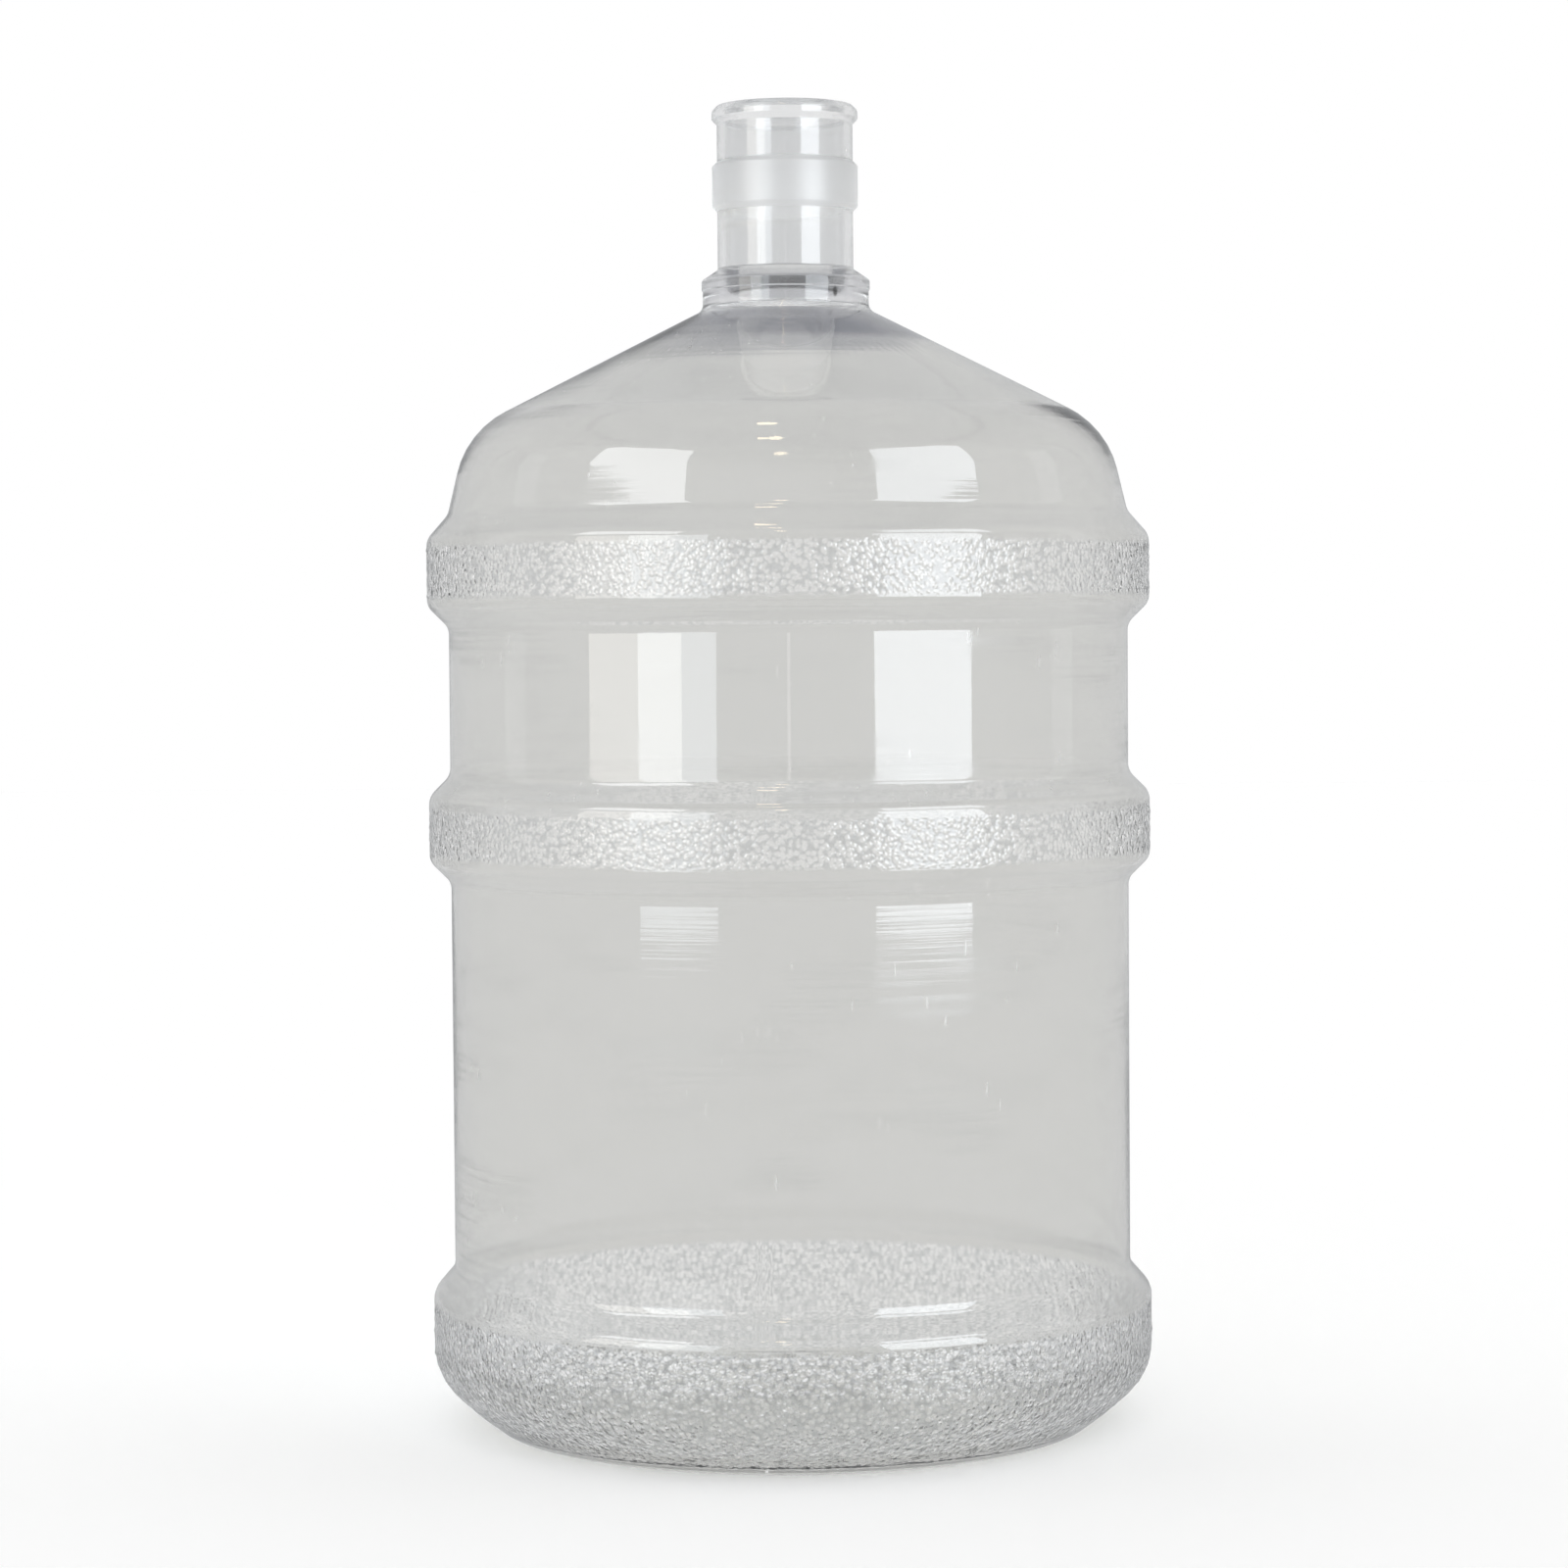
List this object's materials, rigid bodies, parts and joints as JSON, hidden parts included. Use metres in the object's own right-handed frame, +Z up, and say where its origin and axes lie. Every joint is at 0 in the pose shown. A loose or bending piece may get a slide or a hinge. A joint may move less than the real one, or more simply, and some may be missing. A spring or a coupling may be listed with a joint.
{
  "type": "water cooler bottle",
  "caption": "Large clear plastic water bottle with an open crown-top neck, raised textured grip bands and a raised textured foot; empty, no cap.",
  "frame": {"origin": "centre of the standing ring, on the floor plane", "axes": "+Z up along the bottle's axis, through the middle of the mouth; +X to the right and -Y to the front"},
  "size_m": [0.2704, 0.2704, 0.4928],
  "materials": {
    "clear_plastic": "clear, slightly grey blow-moulded plastic, glossy, with pebbled grip bands and foot"
  },
  "bodies": {
    "root": {"bottle": "clear_plastic"}
  },
  "joints": []
}
